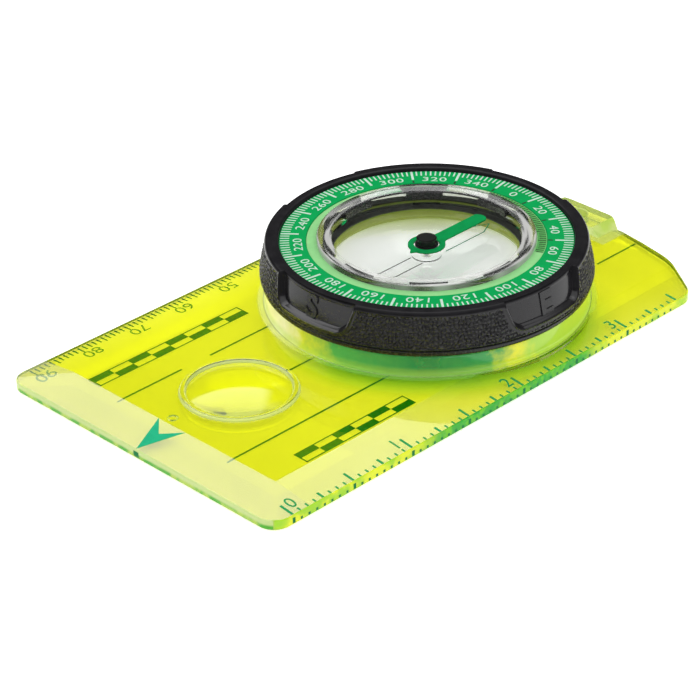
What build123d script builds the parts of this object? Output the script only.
from build123d import *
import math
import os

# Baseplate compass. Millimetres.
# Every piece is drawn about the bezel's turning axis, then moved by bezel_axis_y, so that
# the finished object's origin is the centre of its footprint, in the plane it rests on.
# +Y is the direction of travel, +X the metric-scale side, +Z up.
# In names, _r is a radius, _w a width across the plate, _t a thickness and _z a height.

os.makedirs("parts", exist_ok=True)

over = 1.0  # how far cutters run past the surface they start from
diagonal = math.sqrt(0.5)  # sine and cosine of 45 degrees

# ---- plate -------------------------------------------------------------
plate_half_w = 31.1
plate_front_y = 65.05
plate_t = 2.5
edge_t = 1.6
bevel_w = 7.6
bevel_run_out = 2.0  # the bevel cutters carry on this far past the edge
rear_bevel_y = -38.6
rear_bevel_run, rear_bevel_drop = 6.0, 1.2

# lanyard tab
tab_foot_half_w, tab_top_half_w = 9.4, 5.6
tab_front_y, tab_side_end_y, tab_rear_y = -34.2, -38.8, -41.6
tab_side_z, tab_top_z = 2.0, 3.3
tab_rear_corner_r, tab_side_corner_r = 4.0, 1.5
tab_ramp_z, tab_ramp_run = 2.2, 1.6
lanyard_y = -38.1
lanyard_r = 2.0

bezel_axis_y = -(plate_front_y + tab_rear_y) / 2

# right-hand corners of the plate, front to rear: x, y, fillet radius
plate_corners = [
    (plate_half_w, plate_front_y, 3.2),
    (plate_half_w, -31.8, 3.5),
    (22.0, -37.2, 14.0),
    (tab_foot_half_w, -39.9, 2.5),
]

# collar that carries the bezel
collar_r = 27.2
collar_top = 6.2
collar_bore_r = 21.0
collar_foot_r = 0.9  # concave fillet where the collar meets the plate
collar_foot_sink = 0.15
shoulder_z = 4.2
counterbore_r = 22.8
groove_in_r, groove_out_r = 22.75, 23.85
groove_z = 5.6
friction_gap, friction_proud = 0.05, 0.06

# magnifier
lens_y = 43.0
lens_root_z = 1.0
lens_rim_r = 9.5
lens_rim_w = 0.85
lens_rim_top = 3.35
lens_dome_r = 8.25
lens_dome_h = 1.15

# ---- capsule radii that other pieces fit round or inside ---------------
capsule_r = 18.3
capsule_in_r = 17.4
capsule_fit_r = capsule_in_r - 0.03  # pieces that fit inside the cover

# ---- bezel -------------------------------------------------------------
bezel_top = 13.8
shell_bottom = 7.5
bezel_low_r, bezel_high_r = 28.0, 26.95
shell_in_r = 24.2
rim_in_r = 24.62
dial_seat_z = 12.7
web_under_z = 11.5
web_in_r = capsule_r + 0.08

# four flat-floored recesses in the outside of the grip ring
panel_count = 4
panel_r = 26.1
panel_half_w = 8.3
panel_floor_z = 8.9
panel_cut_h = 9.0
panel_corner_r = 1.4

lip_bottom, lip_top = collar_top + 0.1, 7.3
lip_r, lip_in_r = 27.75, 22.0
neck_r = 27.05

sleeve_in_r, sleeve_out_r, sleeve_bottom = 18.75, 20.45, 1.1
sleeve_flange_r, sleeve_flange_z = 23.0, 10.5

# ---- dial rings --------------------------------------------------------
dial_out_r, dial_in_r, dial_top = 24.55, 20.05, 13.25
dial_chamfer = 0.08
declination_out_r = dial_in_r - 0.05
declination_bottom, declination_top = dial_seat_z + 0.05, 13.1

# ---- retaining ring ----------------------------------------------------
retainer_in_r = 16.3
retainer_wall_in_r = sleeve_out_r + 0.05
retainer_flange_r = 22.6
retainer_neck_r = collar_bore_r - 0.08
retainer_bottom, retainer_floor = 0.35, sleeve_bottom
retainer_top, retainer_neck_top = 4.1, 6.0
retainer_chamfer, retainer_top_chamfer = 0.15, 0.3

# ---- capsule -----------------------------------------------------------
rim_top, rim_flat_r, rim_round_r = 14.1, 17.3, 0.3
window_top, window_under_z = 13.85, 13.05
window_r = 15.84
cover_in_corner_r = 0.6
base_bottom, base_floor = 1.18, 3.9
foot_r, foot_top, foot_chamfer = 18.68, 3.1, 0.25
seal_in_r, seal_top = 16.05, 5.3
hanging_tabs = 8
hanging_tab_in_r, hanging_tab_w, hanging_tab_bottom = 16.1, 6.3, 9.4
hanging_tab_length = 5.0  # radial, before trimming to the ring
tab_ring_in_r, tab_ring_bottom, tab_ring_top = 16.75, 11.9, 12.4
plug_xy = (-9.5, 9.5)
plug_r, plug_h = 0.9, 0.8
fill_hole_r = 0.4

# ---- pivot -------------------------------------------------------------
boss_r, boss_top, boss_root_chamfer = 2.5, 4.6, 0.2
post_r, post_top, post_top_r = 1.1, 5.8, 0.62
post_bottom = base_floor - 0.9
pivot_r, pivot_taper_z, pivot_tip_z = 0.32, 9.4, 10.62
pivot_tip_r, pivot_tip_h = 0.05, 0.04

# ---- magnet hub --------------------------------------------------------
hinge_z = 9.0
pin_r = 0.13
pin_hole_r = 0.17
hub_bore_r = 0.9
hub_collar_r, hub_collar_half_h, hub_collar_chamfer = 1.95, 0.55, 0.15
hub_collar_bottom = hinge_z - hub_collar_half_h
hub_collar_top = hinge_z + hub_collar_half_h
magnet_r, magnet_top = 1.45, 11.6
cap_r, cap_top, cap_plug_z, cap_chamfer = 1.7, 12.45, 10.95, 0.2
jewel_r, jewel_bottom, jewel_cup_r = 0.55, 10.3, 0.42
jewel_gap = 0.03

# ---- needle ------------------------------------------------------------
needle_t = 0.6
needle_half_w = 1.3
needle_tip = 13.9
needle_tip_round = 0.75  # length of the rounded end
needle_ring_in_r, needle_ring_out_r, needle_ring_t = 2.15, 3.15, 0.7
flare_r = 1.4
tail_y, tail_half_w = 4.0, 0.9
tail_root_y = needle_ring_out_r - 0.35
trunnion_in_x = hub_bore_r + 0.15
trunnion_out_x = needle_ring_out_r - 0.1


def save(name, part):
    """Move a piece from the bezel axis to its place and write it."""
    placed = part.moved(Location((0, bezel_axis_y, 0)))
    placed.label = name
    export_step(placed, "parts/" + name + ".step")


def ring(out_r, in_r, bottom, top):
    """Flat ring between two heights."""
    with BuildPart() as flat_ring:
        with BuildSketch(Plane.XY.offset(bottom)):
            Circle(out_r)
            Circle(in_r, mode=Mode.SUBTRACT)
        extrude(amount=top - bottom)
    return flat_ring.part


def turned(*profile):
    """Closed outline of (radius, z) points revolved about the bezel axis."""
    with BuildPart() as solid:
        with BuildSketch(Plane.XZ):
            with BuildLine():
                Polyline(*profile, close=True)
            make_face()
        revolve(axis=Axis.Z)
    return solid.part


def bevel_wedge(start, end, drop):
    """Outline of what a bevel removes; it falls by drop from start to end."""
    return [
        (start, plate_t),
        (end, plate_t - drop),
        (end, plate_t + over),
        (start, plate_t + over),
    ]


def mirrored_corners(sketch, x, y):
    """Vertices of the sketch at (x, y) and (-x, y)."""
    return [
        v for v in sketch.vertices()
        if abs(abs(v.X) - x) < 0.01 and abs(v.Y - y) < 0.01
    ]


# ======================= baseplate ======================================
# raised tab with sloping sides that carries the lanyard hole
with BuildPart() as lanyard_tab:
    with BuildSketch(Plane.XZ.offset(-tab_front_y)):
        with BuildLine():
            Polyline(
                (-tab_foot_half_w, 0),
                (tab_foot_half_w, 0),
                (tab_foot_half_w, tab_side_z),
                (tab_top_half_w, tab_top_z),
                (-tab_top_half_w, tab_top_z),
                (-tab_foot_half_w, tab_side_z),
                close=True,
            )
        make_face()
    extrude(amount=12)
    # trim to the plan outline
    with BuildSketch(Plane.XY.offset(-over)) as tab_plan:
        with BuildLine():
            Polyline(
                (-tab_foot_half_w, tab_front_y),
                (-tab_foot_half_w, tab_side_end_y),
                (-tab_top_half_w, tab_rear_y),
                (tab_top_half_w, tab_rear_y),
                (tab_foot_half_w, tab_side_end_y),
                (tab_foot_half_w, tab_front_y),
                close=True,
            )
        make_face()
        fillet(mirrored_corners(tab_plan, tab_top_half_w, tab_rear_y), tab_rear_corner_r)
        fillet(mirrored_corners(tab_plan, tab_foot_half_w, tab_side_end_y), tab_side_corner_r)
    extrude(amount=6, mode=Mode.INTERSECT)
    # front end slopes down to the plate
    with BuildSketch(Plane.YZ.offset(-20)):
        with BuildLine():
            Polyline(
                (tab_front_y, tab_ramp_z),
                (tab_front_y - tab_ramp_run, tab_top_z + 0.1),
                (tab_front_y + over, tab_top_z + 0.1),
                (tab_front_y + over, tab_ramp_z),
                close=True,
            )
        make_face()
    extrude(amount=40, mode=Mode.SUBTRACT)

right_side = [(x, y) for x, y, _ in plate_corners]
left_side = [(-x, y) for x, y in reversed(right_side)]

# the scale bevels share one slope, carried on past the edges
bevel_length = bevel_w + bevel_run_out
bevel_drop = (plate_t - edge_t) / bevel_w * bevel_length
side_bevel_x = plate_half_w - bevel_w
front_bevel_y = plate_front_y - bevel_w
front_wedge = bevel_wedge(front_bevel_y, front_bevel_y + bevel_length, bevel_drop)
rear_wedge = bevel_wedge(rear_bevel_y, rear_bevel_y - rear_bevel_run, rear_bevel_drop)

collar_foot_x = collar_r + collar_foot_r
collar_foot_bottom = plate_t - collar_foot_sink
collar_foot_top = collar_foot_bottom + collar_foot_r

lens_rim_in_r = lens_rim_r - lens_rim_w
lens_dome_top = plate_t + lens_dome_h
dome_sphere_r = (lens_dome_r**2 + lens_dome_h**2) / (2 * lens_dome_h)
dome_mid_r = lens_dome_r / 2
dome_mid_z = lens_dome_top - dome_sphere_r + math.sqrt(dome_sphere_r**2 - dome_mid_r**2)

with BuildPart() as baseplate:
    with BuildSketch(Plane.XY) as plate_plan:
        with BuildLine():
            Polyline(*right_side, *left_side, close=True)
        make_face()
        for x, y, radius in plate_corners:
            fillet(mirrored_corners(plate_plan, x, y), radius)
    extrude(amount=plate_t)
    # long, shallow bevels that bring the printed scales down to the paper
    with BuildSketch(Plane.XZ.offset(-80)):
        for side in (1, -1):
            with BuildLine():
                Polyline(
                    *bevel_wedge(
                        side * side_bevel_x, side * (side_bevel_x + bevel_length), bevel_drop
                    ),
                    close=True,
                )
            make_face()
    extrude(amount=160, mode=Mode.SUBTRACT)
    # front bevel, then the narrower one along the rear edge
    for wedge in (front_wedge, rear_wedge):
        with BuildSketch(Plane.YZ.offset(-40)):
            with BuildLine():
                Polyline(*wedge, close=True)
            make_face()
        extrude(amount=80, mode=Mode.SUBTRACT)
    # collar, with a concave foot and a softened top edge
    with BuildSketch(Plane.XZ):
        with BuildLine():
            Polyline(
                (collar_bore_r, 0.0),
                (collar_foot_x, 0.0),
                (collar_foot_x, collar_foot_bottom),
            )
            ThreePointArc(
                (collar_foot_x, collar_foot_bottom),
                (collar_foot_x - collar_foot_r * diagonal,
                 collar_foot_top - collar_foot_r * diagonal),
                (collar_r, collar_foot_top),
            )
            Polyline(
                (collar_r, collar_foot_top),
                (collar_r - 0.2, collar_top - 0.4),
                (collar_r - 0.3, collar_top - 0.15),
                (collar_r - 0.6, collar_top),
                (collar_bore_r, collar_top),
                (collar_bore_r, 0.0),
            )
        make_face()
    revolve(axis=Axis.Z)
    # underside counterbore, then the bore
    with BuildSketch(Plane.XY.offset(-over)):
        Circle(counterbore_r)
    extrude(amount=over + shoulder_z, mode=Mode.SUBTRACT)
    with BuildSketch(Plane.XY.offset(-over)):
        Circle(collar_bore_r)
    extrude(amount=12, mode=Mode.SUBTRACT)
    # groove for the friction ring
    with BuildSketch(Plane.XY.offset(groove_z)):
        Circle(groove_out_r)
        Circle(groove_in_r, mode=Mode.SUBTRACT)
    extrude(amount=over, mode=Mode.SUBTRACT)
    # magnifier: raised rim and crowned lens, moulded with the plate
    with BuildSketch(Plane(origin=(0, lens_y, 0), x_dir=(1, 0, 0), z_dir=(0, -1, 0))):
        with BuildLine():
            Polyline(
                (lens_rim_in_r, plate_t),
                (lens_rim_in_r, lens_root_z),
                (lens_rim_r, lens_root_z),
                (lens_rim_r, plate_t),
            )
            ThreePointArc(
                (lens_rim_r, plate_t),
                ((lens_rim_in_r + lens_rim_r) / 2, lens_rim_top),
                (lens_rim_in_r, plate_t),
            )
        make_face()
        with BuildLine():
            Polyline(
                (0, lens_dome_top),
                (0, lens_root_z),
                (lens_dome_r, lens_root_z),
                (lens_dome_r, plate_t),
            )
            ThreePointArc(
                (lens_dome_r, plate_t),
                (dome_mid_r, dome_mid_z),
                (0, lens_dome_top),
            )
        make_face()
    revolve(axis=Axis((0, lens_y, 0), (0, 0, 1)))
    # lanyard tab and hole
    add(lanyard_tab.part)
    with BuildSketch(Plane.XY.offset(-over)):
        with Locations((0, lanyard_y)):
            Circle(lanyard_r)
    extrude(amount=8, mode=Mode.SUBTRACT)
save("baseplate", baseplate.part)

# stands slightly proud of the collar
save("bezel_friction_ring", ring(
    groove_out_r - friction_gap, groove_in_r + friction_gap,
    groove_z, collar_top + friction_proud,
))

# ======================= bezel ==========================================
# round-cornered block on the +X side, hollowed to the recess radius
with BuildPart() as panel_cutter:
    with BuildSketch(Plane.XY.offset(panel_floor_z)):
        Circle(32)
        Circle(panel_r, mode=Mode.SUBTRACT)
    extrude(amount=8)
    with BuildSketch(Plane.YZ.offset(20)):
        with Locations((0, panel_floor_z + panel_cut_h / 2)):
            RectangleRounded(2 * panel_half_w, panel_cut_h, panel_corner_r)
    extrude(amount=15, mode=Mode.INTERSECT)

# tapered outer shell, with an inward web that seats the dial
with BuildPart() as bezel_grip_ring:
    with BuildSketch(Plane.XZ):
        with BuildLine():
            Polyline(
                (bezel_high_r - 0.55, bezel_top),
                (rim_in_r, bezel_top),
                (rim_in_r, dial_seat_z),
                (web_in_r, dial_seat_z),
                (web_in_r, web_under_z),
                (shell_in_r, web_under_z),
                (shell_in_r, shell_bottom),
                (bezel_low_r - 0.2, shell_bottom),
                (bezel_low_r, shell_bottom + 0.25),
                (bezel_low_r, shell_bottom + 0.9),
                (bezel_high_r + 0.12, bezel_top - 0.9),
            )
            ThreePointArc(
                (bezel_high_r + 0.12, bezel_top - 0.9),
                (bezel_high_r - 0.12, bezel_top - 0.22),
                (bezel_high_r - 0.55, bezel_top),
            )
        make_face()
    revolve(axis=Axis.Z)
    with PolarLocations(0, panel_count):
        add(panel_cutter.part, mode=Mode.SUBTRACT)
save("bezel_grip_ring", bezel_grip_ring.part)

# lip with softened outer edges, below a narrower neck
save("bezel_lower_ring", turned(
    (lip_in_r, lip_bottom),
    (lip_r - 0.35, lip_bottom),
    (lip_r - 0.08, lip_bottom + 0.15),
    (lip_r, lip_bottom + 0.4),
    (lip_r, lip_top - 0.2),
    (lip_r - 0.2, lip_top),
    (neck_r, lip_top),
    (neck_r, shell_bottom),
    (lip_in_r, shell_bottom),
))

# sleeve that passes down through the collar and carries the retaining ring
save("bezel_sleeve", turned(
    (sleeve_in_r, sleeve_bottom),
    (sleeve_out_r, sleeve_bottom),
    (sleeve_out_r, sleeve_flange_z),
    (sleeve_flange_r, sleeve_flange_z),
    (sleeve_flange_r, web_under_z),
    (sleeve_in_r, web_under_z),
))

with BuildPart() as dial_ring:
    with BuildSketch(Plane.XY.offset(dial_seat_z)):
        Circle(dial_out_r)
        Circle(dial_in_r, mode=Mode.SUBTRACT)
    extrude(amount=dial_top - dial_seat_z)
    top_edges = dial_ring.edges().filter_by(GeomType.CIRCLE).group_by(Axis.Z)[-1]
    chamfer(top_edges, dial_chamfer)
save("dial_ring", dial_ring.part)

# flange under the collar's shoulder, and a neck up between the bore and the sleeve
save("bezel_retaining_ring", turned(
    (retainer_in_r, retainer_bottom + retainer_chamfer),
    (retainer_in_r + retainer_chamfer, retainer_bottom),
    (retainer_flange_r - retainer_chamfer, retainer_bottom),
    (retainer_flange_r, retainer_bottom + retainer_chamfer),
    (retainer_flange_r, retainer_top - retainer_top_chamfer),
    (retainer_flange_r - retainer_top_chamfer, retainer_top),
    (retainer_neck_r, retainer_top),
    (retainer_neck_r, retainer_neck_top),
    (retainer_wall_in_r, retainer_neck_top),
    (retainer_wall_in_r, retainer_floor),
    (retainer_in_r, retainer_floor),
))

# ======================= capsule ========================================
save("declination_ring",
     ring(declination_out_r, capsule_r, declination_bottom, declination_top))

# inverted cup: side wall, raised rim, and a window dished slightly below the rim
cover_corner_x = capsule_in_r - cover_in_corner_r
cover_corner_z = window_under_z - cover_in_corner_r
with BuildPart() as capsule_cover:
    with BuildSketch(Plane.XZ):
        with BuildLine():
            Polyline((0, window_under_z), (cover_corner_x, window_under_z))
            ThreePointArc(
                (cover_corner_x, window_under_z),
                (cover_corner_x + cover_in_corner_r * diagonal,
                 cover_corner_z + cover_in_corner_r * diagonal),
                (capsule_in_r, cover_corner_z),
            )
            Polyline(
                (capsule_in_r, cover_corner_z),
                (capsule_in_r, foot_top),
                (capsule_r, foot_top),
                (capsule_r, rim_top - rim_round_r),
            )
            ThreePointArc(
                (capsule_r, rim_top - rim_round_r),
                (capsule_r - 0.09, rim_top - 0.09),
                (capsule_r - rim_round_r, rim_top),
            )
            Polyline(
                (capsule_r - rim_round_r, rim_top),
                (rim_flat_r, rim_top),
                (window_r, window_top),
                (0, window_top),
                (0, window_under_z),
            )
        make_face()
    revolve(axis=Axis.Z)
save("capsule_cover", capsule_cover.part)

# lies on the capsule floor
save("capsule_seal", ring(capsule_fit_r, seal_in_r, base_floor, seal_top))

# ring near the top of the cover's wall, with tabs hanging from it
with BuildPart() as capsule_tab_ring:
    with BuildSketch(Plane.XY.offset(tab_ring_bottom)):
        Circle(capsule_fit_r)
        Circle(tab_ring_in_r, mode=Mode.SUBTRACT)
    extrude(amount=tab_ring_top - tab_ring_bottom)
    with BuildSketch(Plane.XY.offset(hanging_tab_bottom)):
        with PolarLocations((hanging_tab_in_r + capsule_fit_r) / 2, hanging_tabs):
            Rectangle(hanging_tab_length, hanging_tab_w)
        Circle(capsule_fit_r, mode=Mode.INTERSECT)
        Circle(hanging_tab_in_r, mode=Mode.SUBTRACT)
    extrude(amount=tab_ring_top - hanging_tab_bottom)
save("capsule_tab_ring", capsule_tab_ring.part)

with BuildPart() as capsule_base:
    with BuildSketch(Plane.XZ):
        with BuildLine():
            Polyline(
                (0, base_bottom),
                (foot_r - foot_chamfer, base_bottom),
                (foot_r, base_bottom + foot_chamfer),
                (foot_r, foot_top),
                (capsule_fit_r, foot_top),
                (capsule_fit_r, base_floor),
                (boss_r + boss_root_chamfer, base_floor),
                (boss_r, base_floor + boss_root_chamfer),
                (boss_r, boss_top),
                (0, boss_top),
                close=True,
            )
        make_face()
    revolve(axis=Axis.Z)
    # seat for the fill plug, then the fill hole
    with BuildSketch(Plane.XY.offset(base_bottom - over)):
        with Locations(plug_xy):
            Circle(plug_r)
    extrude(amount=over + plug_h, mode=Mode.SUBTRACT)
    with BuildSketch(Plane.XY.offset(base_bottom)):
        with Locations(plug_xy):
            Circle(fill_hole_r)
    extrude(amount=4, mode=Mode.SUBTRACT)
    # socket for the pivot post
    with BuildSketch(Plane.XY.offset(post_bottom)):
        Circle(post_r)
    extrude(amount=3, mode=Mode.SUBTRACT)
save("capsule_base", capsule_base.part)

with BuildPart() as capsule_fill_plug:
    with BuildSketch(Plane.XY.offset(base_bottom)):
        with Locations(plug_xy):
            Circle(plug_r)
    extrude(amount=plug_h)
save("capsule_fill_plug", capsule_fill_plug.part)

# post with a coned top, bored for the pin
with BuildPart() as pivot_post:
    with BuildSketch(Plane.XZ):
        with BuildLine():
            Polyline(
                (0, post_bottom),
                (post_r, post_bottom),
                (post_r, boss_top + 0.2),
                (post_top_r, post_top),
                (0, post_top),
                close=True,
            )
        make_face()
    revolve(axis=Axis.Z)
    with BuildSketch(Plane.XY.offset(base_floor)):
        Circle(pivot_r)
    extrude(amount=4, mode=Mode.SUBTRACT)
save("pivot_post", pivot_post.part)

save("pivot_pin", turned(
    (0, base_floor),
    (pivot_r, base_floor),
    (pivot_r, pivot_taper_z),
    (pivot_tip_r, pivot_tip_z - pivot_tip_h),
    (0, pivot_tip_z),
))

# ======================= magnet hub =====================================
with BuildPart() as hub_collar:
    with BuildSketch(Plane.XY.offset(hub_collar_bottom)):
        Circle(hub_collar_r)
        Circle(hub_bore_r, mode=Mode.SUBTRACT)
    extrude(amount=hub_collar_top - hub_collar_bottom)
    top_edges = hub_collar.edges().filter_by(GeomType.CIRCLE).group_by(Axis.Z)[-1]
    chamfer(top_edges.sort_by(SortBy.RADIUS)[-1:], hub_collar_chamfer)
    # cross hole for the trunnions
    with BuildSketch(Plane.YZ.offset(-4)):
        with Locations((0, hinge_z)):
            Circle(pin_r)
    extrude(amount=8, mode=Mode.SUBTRACT)
save("hub_collar", hub_collar.part)

# two pins along X that the needle swings on
with BuildPart() as hub_trunnions:
    for side in (1, -1):
        with BuildSketch(Plane.YZ.offset(side * trunnion_in_x)):
            with Locations((0, hinge_z)):
                Circle(pin_r)
        extrude(amount=side * (trunnion_out_x - trunnion_in_x))
save("hub_trunnions", hub_trunnions.part)

save("hub_magnet", ring(magnet_r, hub_bore_r, hub_collar_top, magnet_top))

# disc on the magnet, with a plug down into its bore
save("hub_cap", turned(
    (0, cap_plug_z),
    (hub_bore_r, cap_plug_z),
    (hub_bore_r, magnet_top),
    (cap_r, magnet_top),
    (cap_r, cap_top - cap_chamfer),
    (cap_r - cap_chamfer, cap_top),
    (0, cap_top),
))

# conical cup over the pin's tip
save("jewel_bearing", turned(
    (0, cap_plug_z),
    (jewel_r, cap_plug_z),
    (jewel_r, jewel_bottom),
    (jewel_cup_r, jewel_bottom),
    (0, pivot_tip_z + jewel_gap),
))

# ======================= needle =========================================
# the blade runs towards -Y from a ring round the hub
blade_root_y = -needle_ring_in_r - 0.1  # inside the width of the ring
blade_end_y = -needle_tip + needle_tip_round
flare_y = -math.sqrt(needle_ring_out_r**2 - needle_half_w**2)
with BuildPart() as needle_pointer:
    with BuildSketch(Plane.XY.offset(hinge_z - needle_t / 2)) as blade:
        with BuildLine():
            Polyline((-needle_half_w, blade_root_y), (-needle_half_w, blade_end_y))
            ThreePointArc(
                (-needle_half_w, blade_end_y),
                (0, -needle_tip),
                (needle_half_w, blade_end_y),
            )
            Polyline(
                (needle_half_w, blade_end_y),
                (needle_half_w, blade_root_y),
                (-needle_half_w, blade_root_y),
            )
        make_face()
        Circle(needle_ring_out_r)
        # the blade flares into the ring, and a short pointed tail stands opposite
        fillet(
            [v for v in blade.vertices()
             if abs(abs(v.X) - needle_half_w) < 0.02 and abs(v.Y - flare_y) < 0.05],
            flare_r,
        )
        with BuildLine():
            Polyline(
                (-tail_half_w, tail_root_y),
                (tail_half_w, tail_root_y),
                (0, tail_y),
                close=True,
            )
        make_face()
    extrude(amount=needle_t)
    # thicker ring
    with BuildSketch(Plane.XY.offset(hinge_z - needle_ring_t / 2)):
        Circle(needle_ring_out_r)
    extrude(amount=needle_ring_t)
    with BuildSketch(Plane.XY.offset(hinge_z - over)):
        Circle(needle_ring_in_r)
    extrude(amount=2 * over, mode=Mode.SUBTRACT)
    # cross hole for the trunnions
    with BuildSketch(Plane.YZ.offset(-5)):
        with Locations((0, hinge_z)):
            Circle(pin_hole_r)
    extrude(amount=10, mode=Mode.SUBTRACT)
save("needle_pointer", needle_pointer.part)
